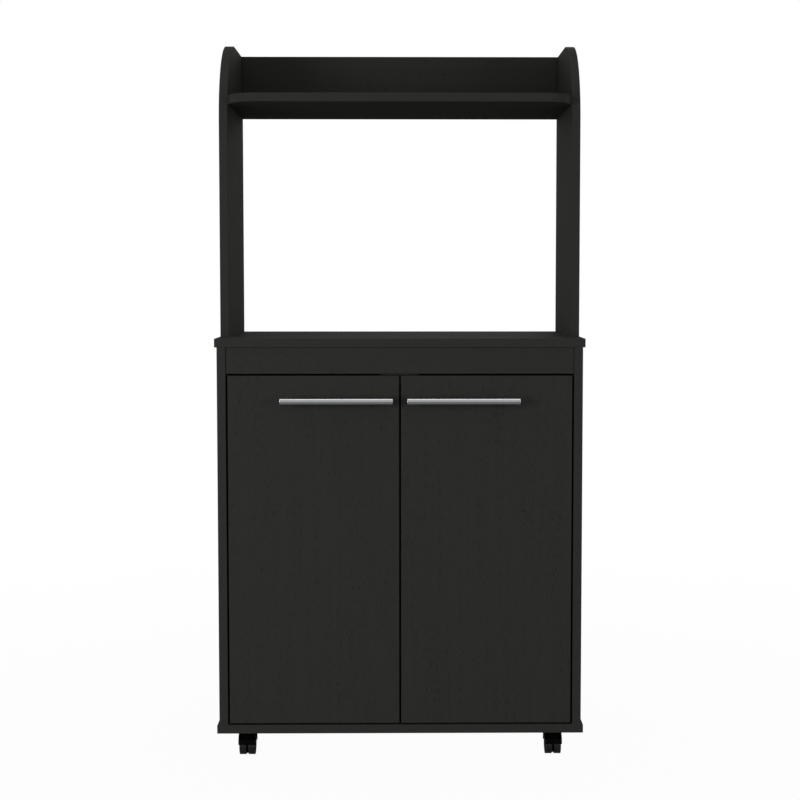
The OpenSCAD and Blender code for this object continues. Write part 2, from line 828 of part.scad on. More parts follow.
module hinge_cups(side) {
    color(plated) in_frame() hinge_places(side) hinge_cup();
}

module hinge_cups_left() {
    hinge_cups(-1);
}

module hinge_cups_right() {
    hinge_cups(1);
}

module hinge_pins(side) {
    color(zinc) in_frame() hinge_places(side)
        cylinder(d = pin_d, h = arm_h + 2 * (pass_gap + cheek_t), center = true);
}

module hinge_pins_left() {
    hinge_pins(-1);
}

module hinge_pins_right() {
    hinge_pins(1);
}

module cup_screws(side) {
    color(plated) in_frame() hinge_places(side) for (s = [-1, 1])
        translate([cup_screw_x, door_back + flange_t, s * cup_screw_z]) along_y()
            pan_screw(cup_screw_d, flange_t + cup_screw_bite, cup_head_d, cup_head_h, wood_point);
}

module cup_screws_left() {
    cup_screws(-1);
}

module cup_screws_right() {
    cup_screws(1);
}

// ---- Doors --------------------------------------------------------------------------------

module handle_places(side) {
    on_side(side) for (s = [-1, 1]) translate([-handle_mid_x + s * handle_cc / 2, 0, handle_z]) children();
}

module door(side) {
    color(laminate) in_frame() difference() {
        on_side(side) translate([-inner_x + door_gap, 0, door_z]) facing_board([door_w, board_t, door_h]);
        handle_places(side) translate([0, -1, 0]) along_y()
            cylinder(d = handle_screw_d + 6 * seat_fit, h = board_t + 2);
        hinge_places(side) {
            translate([cup_x, door_back - bowl_depth - seat_fit, 0]) along_y()
                cylinder(d = cup_d + 2 * seat_fit, h = bowl_depth + 1);
            for (s = [-1, 1]) translate([cup_screw_x, door_back - cup_screw_bite, s * cup_screw_z])
                along_y() cylinder(d = cup_screw_d, h = cup_screw_bite + 1);
        }
    }
}

module door_left() {
    door(-1);
}

module door_right() {
    door(1);
}

// Bar with a flat-bottomed seat for each post
module handle_bar(side) {
    color(satin_metal) in_frame() difference() {
        on_side(side) translate([-handle_mid_x, bar_y, handle_z])
            round_bar(handle_d, handle_len, bar_end_r);
        handle_places(side) translate([0, post_end_y - seat_fit, 0]) along_y()
            cylinder(d = post_d + 2 * seat_fit, h = handle_d);
    }
}

module handle_bar_left() {
    handle_bar(-1);
}

module handle_bar_right() {
    handle_bar(1);
}

module handle_posts(side) {
    color(satin_metal) in_frame() handle_places(side) difference() {
        translate([0, post_end_y, 0]) along_y() cylinder(d = post_d, h = -post_end_y);
        translate([0, -handle_screw_bite - 1, 0]) along_y()
            cylinder(d = handle_screw_d + 2 * seat_fit, h = handle_screw_bite + 2);
    }
}

module handle_posts_left() {
    handle_posts(-1);
}

module handle_posts_right() {
    handle_posts(1);
}

module handle_screws(side) {
    color(plated) in_frame() handle_places(side) translate([0, board_t, 0]) along_y()
        pan_screw(handle_screw_d, board_t + handle_screw_bite, handle_head_d, handle_head_h);
}

module handle_screws_left() {
    handle_screws(-1);
}

module handle_screws_right() {
    handle_screws(1);
}

module strike_plate(side) {
    color(plated) in_frame() on_side(side)
        translate([-magnet_x - strike_w / 2, board_t + strike_t, magnet_z - strike_h / 2])
            rotate([90, 0, 0]) linear_extrude(strike_t) rounded_rect([strike_w, strike_h], 2);
}

module strike_plate_left() {
    strike_plate(-1);
}

module strike_plate_right() {
    strike_plate(1);
}

// ---- Magnet catch -------------------------------------------------------------------------

function catch_screw_z() = fascia_z + catch_rise / 2;

module magnet_blocks(slack) {
    for (s = [-1, 1])
        translate([s * magnet_x - magnet_w / 2 - slack, magnet_face_y, magnet_z - magnet_h / 2 - slack])
            cube([magnet_w + 2 * slack, fascia_back_y + magnet_seat + slack - magnet_face_y,
                magnet_h + 2 * slack]);
}

module catch_body() {
    color(black_plastic) in_frame() difference() {
        translate([-catch_half_w, fascia_back_y, fascia_z - catch_drop])
            along_y() mirror([0, 1, 0]) linear_extrude(catch_d)
                rounded_rect([2 * catch_half_w, catch_drop + catch_rise], 3);
        magnet_blocks(seat_fit);
        for (s = [-1, 1]) translate([s * catch_screw_x, fascia_back_y - 1, catch_screw_z()])
            along_y() cylinder(d = catch_screw_d + 2 * seat_fit, h = catch_d + 2);
    }
}

module catch_magnets() {
    color("#6b6b70") in_frame() magnet_blocks(0);
}

module catch_screws() {
    color(plated) in_frame() for (s = [-1, 1])
        translate([s * catch_screw_x, fascia_back_y + catch_d, catch_screw_z()]) along_y()
            pan_screw(catch_screw_d, catch_d + catch_screw_bite, plate_head_d, plate_head_h, wood_point);
}

// ---- Casters ------------------------------------------------------------------------------

// How far a wheel's domed face has dropped at a radius
function dome_drop(r) = dome_r - sqrt(dome_r ^ 2 - r ^ 2);

// Square plate, ball race and riveted stem, fixed to the base
module swivel_plate() {
    difference() {
        translate([-swivel_plate_w / 2, -swivel_plate_w / 2, swivel_plate_z])
            linear_extrude(swivel_plate_t) rounded_rect([swivel_plate_w, swivel_plate_w], 4);
        plate_hole_places() translate([0, 0, swivel_plate_z - 1])
            cylinder(d = plate_hole_d, h = swivel_plate_t + 2);
    }
    translate([0, 0, race_z]) cylinder(d = race_d, h = race_t + swivel_plate_t / 2);
    translate([0, 0, stem_z]) cylinder(d = stem_d, h = race_z + race_t / 2 - stem_z);
}

module caster_plates() {
    color(zinc) in_frame() caster_places() swivel_plate();
}

module caster_screws() {
    color(zinc) in_frame() caster_places() plate_hole_places() translate([0, 0, swivel_plate_z])
        mirror([0, 0, 1]) pan_screw(caster_screw_d, swivel_plate_t + caster_screw_bite,
            caster_head_d, caster_head_h, wood_point);
}

// Radial section of the hood: a crowned fender with a thin lip down each side
module hood_section() {
    difference() {
        translate([0, -hood_x]) rounded_rect([hood_r, 2 * hood_x], hood_shoulder_r);
        translate([-1, -hood_in_x]) square([hood_in_r + 1, 2 * hood_in_x]);
        translate([-1, -hood_x - 1]) square([wheel_r - hood_lip + 1, 2 * hood_x + 2]);
    }
}

// Side outline of the web between the wheels: it fills the hood, and is a smaller disc below
module web_outline() {
    far = 2 * hood_r;
    difference() {
        circle(hood_r - 0.5);
        polygon([[0, 0], far * [cos(hood_sweep), sin(hood_sweep)], [-far, -far], [far, -far], [far, 0]]);
    }
    circle(web_r);
}

// Hooded swivel body. Around the axle the outline's angle 0 points to the back.
module caster_housing() {
    difference() {
        union() {
            translate([0, caster_trail, wheel_r]) along_x() {
                rotate_extrude(angle = hood_sweep) hood_section();
                translate([0, 0, -web_t / 2]) linear_extrude(web_t) web_outline();
            }
            difference() {
                translate([0, 0, head_low_z]) cylinder(d = head_d, h = head_top_z - head_low_z);
                for (s = [-1, 1]) translate([s * web_t / 2, caster_trail, wheel_r])
                    rotate([0, 90 * s, 0]) cylinder(r = hood_in_r, h = head_d);
            }
        }
        translate([0, 0, stem_z - stem_end_gap]) cylinder(d = stem_d + 2 * running_fit, h = caster_h);
        translate([0, caster_trail, wheel_r]) rotate([0, 90, 0])
            cylinder(d = axle_d + 2 * seat_fit, h = 2 * web_t, center = true);
    }
}

module caster_axle() {
    translate([0, caster_trail, wheel_r]) rotate([0, 90, 0]) cylinder(d = axle_d, h = axle_len, center = true);
}

// Half section of a wheel, from its inner face at y = 0 to its domed outer face
module wheel_section() {
    difference() {
        intersection() {
            translate([-wheel_r, 0]) rounded_rect([wheel_d, wheel_w], tread_r);
            translate([0, wheel_w - dome_r]) circle(dome_r, $fn = 128);
            square([wheel_r, wheel_w]);
        }
        translate([axle_boss_r, -1]) square([wheel_r - wheel_rim_t - axle_boss_r, wheel_w - wheel_face_t]);
        translate([wheel_groove_r, wheel_w - wheel_groove_depth - 0.6]) square([wheel_groove_w, wheel_w]);
        translate([-1, -1]) square([axle_d / 2 + running_fit + 1, wheel_w]);
    }
}

// side -1 is the wheel on the left of the web
module caster_wheel(side) {
    translate([side * wheel_x, caster_trail, wheel_r]) rotate([0, 90 * side, 0])
        rotate_extrude() wheel_section();
}

module caster_at(side, y) {
    in_frame() translate([side * caster_x, y, 0]) children();
}

module caster_front_left_housing() {
    color(black_plastic) caster_at(-1, caster_front_y) caster_housing();
}

module caster_front_left_axle() {
    color(zinc) caster_at(-1, caster_front_y) caster_axle();
}

module caster_front_left_wheel_l() {
    color(black_plastic) caster_at(-1, caster_front_y) caster_wheel(-1);
}

module caster_front_left_wheel_r() {
    color(black_plastic) caster_at(-1, caster_front_y) caster_wheel(1);
}

module caster_front_right_housing() {
    color(black_plastic) caster_at(1, caster_front_y) caster_housing();
}

module caster_front_right_axle() {
    color(zinc) caster_at(1, caster_front_y) caster_axle();
}

module caster_front_right_wheel_l() {
    color(black_plastic) caster_at(1, caster_front_y) caster_wheel(-1);
}

module caster_front_right_wheel_r() {
    color(black_plastic) caster_at(1, caster_front_y) caster_wheel(1);
}

module caster_rear_left_housing() {
    color(black_plastic) caster_at(-1, caster_rear_y) caster_housing();
}

module caster_rear_left_axle() {
    color(zinc) caster_at(-1, caster_rear_y) caster_axle();
}

module caster_rear_left_wheel_l() {
    color(black_plastic) caster_at(-1, caster_rear_y) caster_wheel(-1);
}

module caster_rear_left_wheel_r() {
    color(black_plastic) caster_at(-1, caster_rear_y) caster_wheel(1);
}

module caster_rear_right_housing() {
    color(black_plastic) caster_at(1, caster_rear_y) caster_housing();
}

module caster_rear_right_axle() {
    color(zinc) caster_at(1, caster_rear_y) caster_axle();
}

module caster_rear_right_wheel_l() {
    color(black_plastic) caster_at(1, caster_rear_y) caster_wheel(-1);
}

module caster_rear_right_wheel_r() {
    color(black_plastic) caster_at(1, caster_rear_y) caster_wheel(1);
}

base_panel();
side_panel_left();
side_panel_right();
worktop();
fascia_rail();
back_panel();
back_panel_nails();
inner_shelf();
shelf_pins();
upright_left();
upright_right();
top_shelf();
back_rail();
confirmat_screws();
screw_caps();
cam_locks();
cam_bolts();
dowels();
hinge_plates();
hinge_arms();
hinge_screws();
catch_body();
catch_magnets();
catch_screws();
caster_plates();
caster_screws();
door_left();
handle_bar_left();
handle_posts_left();
handle_screws_left();
hinge_cups_left();
hinge_pins_left();
cup_screws_left();
strike_plate_left();
door_right();
handle_bar_right();
handle_posts_right();
handle_screws_right();
hinge_cups_right();
hinge_pins_right();
cup_screws_right();
strike_plate_right();
caster_front_left_housing();
caster_front_left_axle();
caster_front_left_wheel_l();
caster_front_left_wheel_r();
caster_front_right_housing();
caster_front_right_axle();
caster_front_right_wheel_l();
caster_front_right_wheel_r();
caster_rear_left_housing();
caster_rear_left_axle();
caster_rear_left_wheel_l();
caster_rear_left_wheel_r();
caster_rear_right_housing();
caster_rear_right_axle();
caster_rear_right_wheel_l();
caster_rear_right_wheel_r();
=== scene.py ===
"""Black two-door microwave cart on hooded casters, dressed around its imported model."""

import logging
import math
from abc import ABC, abstractmethod
from dataclasses import dataclass
from enum import Enum
from functools import cache
from typing import NamedTuple

import bpy
import numpy as np
from mathutils import Euler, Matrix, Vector


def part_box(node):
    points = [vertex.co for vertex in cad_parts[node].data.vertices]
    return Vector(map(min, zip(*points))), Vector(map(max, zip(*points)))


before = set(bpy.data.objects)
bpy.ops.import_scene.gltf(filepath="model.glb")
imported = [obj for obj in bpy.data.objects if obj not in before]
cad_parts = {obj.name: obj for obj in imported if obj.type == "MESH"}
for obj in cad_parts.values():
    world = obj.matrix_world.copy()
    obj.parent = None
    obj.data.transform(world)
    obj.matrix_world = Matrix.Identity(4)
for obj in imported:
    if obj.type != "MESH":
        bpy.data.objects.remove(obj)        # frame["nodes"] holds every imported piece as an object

LOG = logging.getLogger("cart")
MM = 0.001
# The sRGB curve: a straight foot up to the knee, then a power with an offset
SRGB_KNEE, SRGB_SLOPE, SRGB_OFFSET, SRGB_POWER = 0.04045, 12.92, 0.055, 2.4

Tree = bpy.types.NodeTree
Node = bpy.types.Node
Rgba = tuple[float, float, float, float]
Vec3 = tuple[float, float, float]
# The two ends of a band, or two numbers that a comment tells apart
Pair = tuple[float, float]
# What a node's socket may be given: a number, a colour, a vector, an output or a node
Value = float | Rgba | Vec3 | bpy.types.NodeSocket | Node

WHITE: Rgba = (1.0, 1.0, 1.0, 1.0)
ORIGIN: Vec3 = (0.0, 0.0, 0.0)


# ---- Colours and shader nodes ------------------------------------------------------------------


def linear(code: str) -> Rgba:
    """Turns an sRGB hex colour into a linear one.

    Args:
        code: Six hex digits after a #.

    Returns:
        Linear red, green and blue with an alpha of 1.
    """
    srgb = [int(code[i : i + 2], 16) / 255 for i in (1, 3, 5)]
    r, g, b = (c / SRGB_SLOPE if c <= SRGB_KNEE
               else ((c + SRGB_OFFSET) / (1 + SRGB_OFFSET)) ** SRGB_POWER for c in srgb)
    return (r, g, b, 1.0)


def add(tree: Tree, kind: str, inputs: dict[str, Value] | tuple[Value, ...] = (),
        **settings: object) -> Node:
    """Adds one shader node with its settings and links.

    Args:
        tree: The material's or world's node tree.
        kind: The node's type, without its ShaderNode prefix.
        inputs: Values in the order in which the node shows its sockets, or by their names. A node
            stands for the first output that it shows.
        settings: The node's own properties.

    Returns:
        The new node.
    """
    node = tree.nodes.new(f"ShaderNode{kind}")
    for key, setting in settings.items():
        setattr(node, key, setting)
    if isinstance(inputs, dict):
        fed = [(node.inputs[name], value) for name, value in inputs.items()]
    else:
        fed = list(zip((socket for socket in node.inputs if socket.enabled), inputs))
    for socket, value in fed:
        if isinstance(value, Node):
            value = next(output for output in value.outputs if output.enabled)
        if isinstance(value, bpy.types.NodeSocket):
            tree.links.new(value, socket)
        else:
            socket.default_value = value
    return node


def empty_tree(owner: bpy.types.Material | bpy.types.World) -> Tree:
    """Turns a material's or world's nodes on and removes those that it comes with.

    Args:
        owner: The new material or world.

    Returns:
        Its empty node tree.
    """
    owner.use_nodes = True
    owner.node_tree.nodes.clear()
    return owner.node_tree


class Axis(Enum):
    """A direction of the cart: X across, Y to the back, Z up."""

    X = 0
    Y = 1
    Z = 2


def in_cells(tree: Tree, cell_mm: Vec3 | float, centre: Vec3 = ORIGIN) -> Node:
    """Object coordinates counted in cells of a given size.

    Args:
        tree: The material's node tree.
        cell_mm: Size of one cell along X, Y and Z, or one size for all three, in millimetres.
        centre: Point in metres at which the count starts.

    Returns:
        The node that counts. It feeds a texture of scale 1.
    """
    sizes = cell_mm if isinstance(cell_mm, tuple) else (cell_mm,) * 3
    per_metre = tuple(1.0 / (size * MM) for size in sizes)
    shift = tuple(-c * p for c, p in zip(centre, per_metre))
    place = add(tree, "TexCoord").outputs["Object"]
    return add(tree, "Mapping", {"Vector": place, "Location": shift, "Scale": per_metre})


def speckle(tree: Tree, blob_mm: Vec3 | float, detail: float) -> Node:
    """Soft speckle whose blobs have a given size.

    Args:
        tree: The material's node tree.
        blob_mm: Size of a blob along X, Y and Z, or one size for all three, in millimetres.
        detail: How many finer octaves are added.

    Returns:
        The node that gives the speckle, which is 0.5 on average and seldom past 0.3 or 0.7.
    """
    place = in_cells(tree, blob_mm)
    return add(tree, "TexNoise", {"Vector": place, "Scale": 1.0, "Detail": detail})


def facing(tree: Tree, axis: Axis, band: Pair, one_way: bool = False) -> Node:
    """How squarely the surface faces along an axis, in the piece's own frame.

    Args:
        tree: The material's node tree.
        axis: The axis to look along.
        band: Parts of the normal along the axis that give 0 and 1.
        one_way: True if only the positive way counts.

    Returns:
        The node that gives 0 on faces that look another way, and 1 on faces along the axis.
    """
    normal = add(tree, "TexCoord").outputs["Normal"]
    part = add(tree, "SeparateXYZ", (normal,)).outputs[axis.value]
    if not one_way:
        part = add(tree, "Math", (part,), operation="ABSOLUTE")
    return add(tree, "MapRange", (part, *band))


# ---- Finishes ----------------------------------------------------------------------------------


class Look(NamedTuple):
    """What a finish gives its shader: socket values, and a height pattern with its depth."""

    sockets: dict[str, Value]
    height: Value
    depth_mm: float


@dataclass(frozen=True)
class Finish(ABC):
    """What a surface is made of. Each finish works out what a Principled shader is given."""

    def material(self) -> bpy.types.Material:
        """Returns this finish's material, which equal finishes share."""
        return make_material(self)

    @abstractmethod
    def paint(self, tree: Tree) -> Look:
        """Adds this finish's patterns.

        Args:
            tree: The material's node tree.

        Returns:
            What the shader is given.
        """


@cache
def make_material(finish: Finish) -> bpy.types.Material:
    """Makes one finish's material, and presses its height pattern into the surface.

    Args:
        finish: The finish, whose class gives the material its name.

    Returns:
        The material.
    """
    made = bpy.data.materials.new(type(finish).__name__)
    tree = empty_tree(made)
    look = finish.paint(tree)
    pressed = {"Height": look.height, "Strength": 1.0, "Distance": look.depth_mm * MM}
    sockets = look.sockets | {"Normal": add(tree, "Bump", pressed)}
    add(tree, "OutputMaterial", (add(tree, "BsdfPrincipled", sockets),))
    return made


@dataclass(frozen=True)
class ParticleCore:
    """Sawn edge of particle board: flat chips of softwood from straw to brown, pressed to lie in
    the plane of the board, with finer dust between them.
    """

    face: Axis
    pale: str = "#c4a67a"
    brown: str = "#8f6e48"
    gap: str = "#5f4730"
    # Length and thickness of a chip
    chip_mm: Pair = (3.6, 1.0)
    dust_mm: float = 0.5
    # How far the dust breaks up the chips' straight borders, in chips
    ragged: float = 0.5
    # How much the dust adds to a chip's own tone, and the sums that are all pale and all brown
    dust_share: float = 0.8
    tone_band: Pair = (0.2, 1.3)
    # Distances from a chip's middle at which the gap begins and is full, in chips
    gap_band: Pair = (0.55, 0.95)

    def chips(self, tree: Tree) -> Node:
        """Gives the colour of the chips.

        Args:
            tree: The material's node tree.

        Returns:
            The node that gives the colour.
        """
        length, thickness = self.chip_mm
        x, y, z = (thickness if axis is self.face else length for axis in Axis)
        dust = speckle(tree, self.dust_mm, detail=3.0)
        push = add(tree, "Math", (dust, self.ragged), operation="MULTIPLY")
        place = add(tree, "VectorMath", (in_cells(tree, (x, y, z)), push), operation="ADD")
        cells = add(tree, "TexVoronoi", {"Vector": place, "Scale": 1.0}, feature="F1")
        own_tone = add(tree, "SeparateColor", (cells.outputs["Color"],))
        mottle = add(tree, "Math", (dust, self.dust_share, own_tone), operation="MULTIPLY_ADD")
        tone = add(tree, "MapRange", (mottle, *self.tone_band))
        chips = add(tree, "Mix", (tone, linear(self.pale), linear(self.brown)), data_type="RGBA")
        gaps = add(tree, "MapRange", (cells.outputs["Distance"], *self.gap_band))
        return add(tree, "Mix", (gaps, chips, linear(self.gap)), data_type="RGBA")


@dataclass(frozen=True)
class PressedMelamine(Finish):
    """Particle board faced with black melamine paper, and edged with black PVC tape.

    The paper is pressed on a plate with wood pores, so up close the black breaks into short dull
    strokes along the grain. The tape on the edges is a little smoother. A rear edge that nobody
    sees is left without tape and shows the pale chips of the core.
    """

    grain: Axis
    face: Axis
    bare_rear: bool = False
    black: str = "#2d2d2b"
    pore_black: str = "#1f1f1e"
    tape_black: str = "#2d2d2c"
    roughness: float = 0.68
    pore_roughness: float = 0.85
    tape_roughness: float = 0.6
    bare_roughness: float = 0.9
    ior: float = 1.5
    # The paper is matt: it mirrors far less of the room than a polished plastic does
    mirror_level: float = 0.012
    # Width and length. Real pores are about 0.2 by 6 mm: drawn coarser, or they would not show
    pore_mm: Pair = (0.7, 11.0)
    figure_mm: Pair = (9.0, 260.0)
    # Speckle from which a pore begins and is full, and from which a group of pores does
    pore_band: Pair = (0.56, 0.68)
    figure_band: Pair = (0.35, 0.65)
    # Parts of the normal that tell the board's faces, and its rear edge, from the rest
    face_band: Pair = (0.6, 0.8)
    rear_band: Pair = (0.7, 0.9)
    pore_depth_mm: float = 0.03

    def strokes(self, tree: Tree, stroke_mm: Pair, detail: float, band: Pair) -> Node:
        """Speckle drawn out along the grain.

        Args:
            tree: The material's node tree.
            stroke_mm: Width and length of a stroke.
            detail: How many finer octaves are added.
            band: Speckle that gives 0 and 1.

        Returns:
            The node that gives the strokes.
        """
        width, length = stroke_mm
        x, y, z = (length if axis is self.grain else width for axis in Axis)
        return add(tree, "MapRange", (speckle(tree, (x, y, z), detail), *band))

    def paint(self, tree: Tree) -> Look:
        """Adds groups of pores on the faces, tape on the edges, and chips on a bare rear edge.

        Args:
            tree: The material's node tree.

        Returns:
            What the shader is given.
        """
        pores = self.strokes(tree, self.pore_mm, 1.0, self.pore_band)
        figure = self.strokes(tree, self.figure_mm, 3.0, self.figure_band)
        grouped = add(tree, "Math", (pores, figure), operation="MULTIPLY")
        on_face = facing(tree, self.face, self.face_band)
        marks = add(tree, "Math", (grouped, on_face), operation="MULTIPLY")
        paper = add(tree, "Mix", (marks, linear(self.black), linear(self.pore_black)),
                    data_type="RGBA")
        colour = add(tree, "Mix", (on_face, linear(self.tape_black), paper), data_type="RGBA")
        dull = add(tree, "MapRange", (marks, 0.0, 1.0, self.roughness, self.pore_roughness))
        rough = add(tree, "Mix", (on_face, self.tape_roughness, dull))
        if self.bare_rear:
            bare = facing(tree, Axis.Y, self.rear_band, one_way=True)
            core = ParticleCore(self.face).chips(tree)
            colour = add(tree, "Mix", (bare, colour, core), data_type="RGBA")
            rough = add(tree, "Mix", (bare, rough, self.bare_roughness))
        height = add(tree, "Math", (1.0, marks), operation="SUBTRACT")
        return Look({"Base Color": colour, "Roughness": rough, "IOR": self.ior,
                     "Specular IOR Level": self.mirror_level}, height, self.pore_depth_mm)


@dataclass(frozen=True)
class PrintedHardboard(Finish):
    """Pressed wood fibre, 3 mm thick: printed black inside, and bare brown behind, where its felted
    fibres show.
    """

    black: str = "#1a1a19"
    brown: str = "#6b4a30"
    dark_brown: str = "#553924"
    fibre_mm: Vec3 = (0.9, 0.9, 2.6)
    cloud_mm: Vec3 = (60.0, 60.0, 90.0)
    # How much the fibres add to the clouds, and the sums that are all dark and all light
    fibre_share: float = 0.6
    tone_band: Pair = (0.6, 1.0)
    # Parts of the normal that tell the bare side from the printed one
    behind_band: Pair = (0.3, 0.5)
    # Of the printed and of the bare side
    roughness: Pair = (0.5, 0.8)
    fibre_depth_mm: float = 0.04

    def paint(self, tree: Tree) -> Look:
        """Adds clouded fibres behind, and plain print in front.

        Args:
            tree: The material's node tree.

        Returns:
            What the shader is given.
        """
        fibres = speckle(tree, self.fibre_mm, detail=4.0)
        clouds = speckle(tree, self.cloud_mm, detail=3.0)
        mottle = add(tree, "Math", (fibres, self.fibre_share, clouds), operation="MULTIPLY_ADD")
        tone = add(tree, "MapRange", (mottle, *self.tone_band))
        raw = add(tree, "Mix", (tone, linear(self.dark_brown), linear(self.brown)),
                  data_type="RGBA")
        behind = facing(tree, Axis.Y, self.behind_band, one_way=True)
        colour = add(tree, "Mix", (behind, linear(self.black), raw), data_type="RGBA")
        rough = add(tree, "MapRange", (behind, 0.0, 1.0, *self.roughness))
        return Look({"Base Color": colour, "Roughness": rough}, fibres, self.fibre_depth_mm)


@dataclass(frozen=True)
class BrushedNickel(Finish):
    """Steel bar turned against an abrasive belt, then nickel plated: rings of fine scratches that
    draw every highlight out along the bar.
    """

    nickel: str = "#c0c2c4"
    # Real scratches are about 0.05 mm apart: drawn at 0.25 mm, or they would not show
    scratch_mm: Vec3 = (0.25, 30.0, 30.0)
    scratch_band: Pair = (0.3, 0.7)
    roughness: Pair = (0.12, 0.26)
    scratch_depth_mm: float = 0.004

    def paint(self, tree: Tree) -> Look:
        """Adds the scratches.

        Args:
            tree: The material's node tree.

        Returns:
            What the shader is given.
        """
        scratches = speckle(tree, self.scratch_mm, detail=3.0)
        rough = add(tree, "MapRange", (scratches, *self.scratch_band, *self.roughness))
        sockets = {"Base Color": linear(self.nickel), "Metallic": 1.0, "Roughness": rough}
        return Look(sockets, scratches, self.scratch_depth_mm)


@dataclass(frozen=True)
class PlatedSteel(Finish):
    """Pressed or cold-headed steel with a thin bright plating, which keeps the drawing marks of the
    sheet below it and is cloudy where the bath ran thin.
    """

    colour: str
    cloud_colour: str
    roughness: Pair
    cloud_mm: float = 6.0
    cloud_band: Pair = (0.35, 0.65)
    dull_band: Pair = (0.3, 0.7)
    grit_mm: float = 0.35
    grit_depth_mm: float = 0.006

    def paint(self, tree: Tree) -> Look:
        """Adds the clouds and the grit.

        Args:
            tree: The material's node tree.

        Returns:
            What the shader is given.
        """
        clouds = speckle(tree, self.cloud_mm, detail=3.0)
        grit = speckle(tree, self.grit_mm, detail=1.0)
        share = add(tree, "MapRange", (clouds, *self.cloud_band))
        colour = add(tree, "Mix", (share, linear(self.colour), linear(self.cloud_colour)),
                     data_type="RGBA")
        rough = add(tree, "MapRange", (clouds, *self.dull_band, *self.roughness))
        sockets = {"Base Color": colour, "Metallic": 1.0, "Roughness": rough}
        return Look(sockets, grit, self.grit_depth_mm)


# Bright nickel on the hinges, shelf pins and strike plates, and duller zinc with yellowish clouds
# on the other screws, the nails, pins and axles, and the caster plates
NICKEL_PLATE = PlatedSteel(colour="#b9b8b4", cloud_colour="#a3a39f", roughness=(0.19, 0.34))
ZINC_PLATE = PlatedSteel(colour="#b4b8bb", cloud_colour="#a9a795", roughness=(0.28, 0.43))


@dataclass(frozen=True)
class CastZinc(Finish):
    """Die-cast zinc as it leaves the mould: dull grey with fine pits."""

    grey: str = "#8d8d8b"
    pit_mm: float = 0.5
    pit_band: Pair = (0.3, 0.7)
    roughness: Pair = (0.42, 0.6)
    pit_depth_mm: float = 0.02

    def paint(self, tree: Tree) -> Look:
        """Adds the pits.

        Args:
            tree: The material's node tree.

        Returns:
            What the shader is given.
        """
        pits = speckle(tree, self.pit_mm, detail=3.0)
        rough = add(tree, "MapRange", (pits, *self.pit_band, *self.roughness))
        sockets = {"Base Color": linear(self.grey), "Metallic": 1.0, "Roughness": rough}
        return Look(sockets, pits, self.pit_depth_mm)


NYLON_IOR = 1.53


@dataclass(frozen=True)
class GlossNylon(Finish):
    """Black nylon moulded in a polished tool: a deep wet black whose reflections waver slightly."""

    black: str = "#030303"
    # Kept low, because the hood in the photograph is almost plain black
    mirror_level: float = 0.03
    dust_mm: float = 0.6
    dust_band: Pair = (0.35, 0.75)
    roughness: Pair = (0.19, 0.28)
    wave_mm: float = 3.5
    wave_depth_mm: float = 0.02

    def paint(self, tree: Tree) -> Look:
        """Adds the waves of the tool and a little dust.

        Args:
            tree: The material's node tree.

        Returns:
            What the shader is given.
        """
        waves = speckle(tree, self.wave_mm, detail=1.0)
        dust = speckle(tree, self.dust_mm, detail=3.0)
        rough = add(tree, "MapRange", (dust, *self.dust_band, *self.roughness))
        return Look({"Base Color": linear(self.black), "Roughness": rough, "IOR": NYLON_IOR,
                     "Specular IOR Level": self.mirror_level}, waves, self.wave_depth_mm)


@dataclass(frozen=True)
class RolledNylon(Finish):
    """Black nylon wheel: satin from its tool, and scuffed grey on the tread where it rolls."""

    # A point on the wheel's axle, in metres
    axle: Vec3
    black: str = "#111112"
    scuff: str = "#1f1f1e"
    # Distances from the axle between which the wheel's flank becomes its tread
    tread_mm: Pair = (18.6, 19.4)
    scuff_mm: Vec3 = (1.4, 0.8, 0.8)
    scuff_band: Pair = (0.42, 0.62)
    # Of clean and of scuffed nylon
    roughness: Pair = (0.32, 0.42)
    scuff_depth_mm: float = 0.005
    # A cell that is so long along the axle leaves that direction out of the distance from it
    endless_mm: float = 1e9

    def paint(self, tree: Tree) -> Look:
        """Adds the scuffs where the distance from the axle is that of the tread.

        Args:
            tree: The material's node tree.

        Returns:
            What the shader is given.
        """
        from_axle = in_cells(tree, (self.endless_mm, 1.0, 1.0), self.axle)
        radius = add(tree, "VectorMath", (from_axle,), operation="LENGTH")
        tread = add(tree, "MapRange", (radius, *self.tread_mm))
        rubs = add(tree, "MapRange", (speckle(tree, self.scuff_mm, detail=4.0), *self.scuff_band))
        worn = add(tree, "Math", (tread, rubs), operation="MULTIPLY")
        colour = add(tree, "Mix", (worn, linear(self.black), linear(self.scuff)),
                     data_type="RGBA")
        rough = add(tree, "MapRange", (worn, 0.0, 1.0, *self.roughness))
        return Look({"Base Color": colour, "Roughness": rough, "IOR": NYLON_IOR},
                    rubs, self.scuff_depth_mm)


@dataclass(frozen=True)
class SparkedPlastic(Finish):
    """Black plastic from a spark-eroded tool: an even fine grain that kills the gloss."""

    black: str = "#141414"
    grain_mm: float = 0.3
    grain_band: Pair = (0.3, 0.7)
    roughness: Pair = (0.5, 0.62)
    grain_depth_mm: float = 0.02

    def paint(self, tree: Tree) -> Look:
        """Adds the grain.

        Args:
            tree: The material's node tree.

        Returns:
            What the shader is given.
        """
        grain = speckle(tree, self.grain_mm, detail=1.0)
        rough = add(tree, "MapRange", (grain, *self.grain_band, *self.roughness))
        return Look({"Base Color": linear(self.black), "Roughness": rough},
                    grain, self.grain_depth_mm)


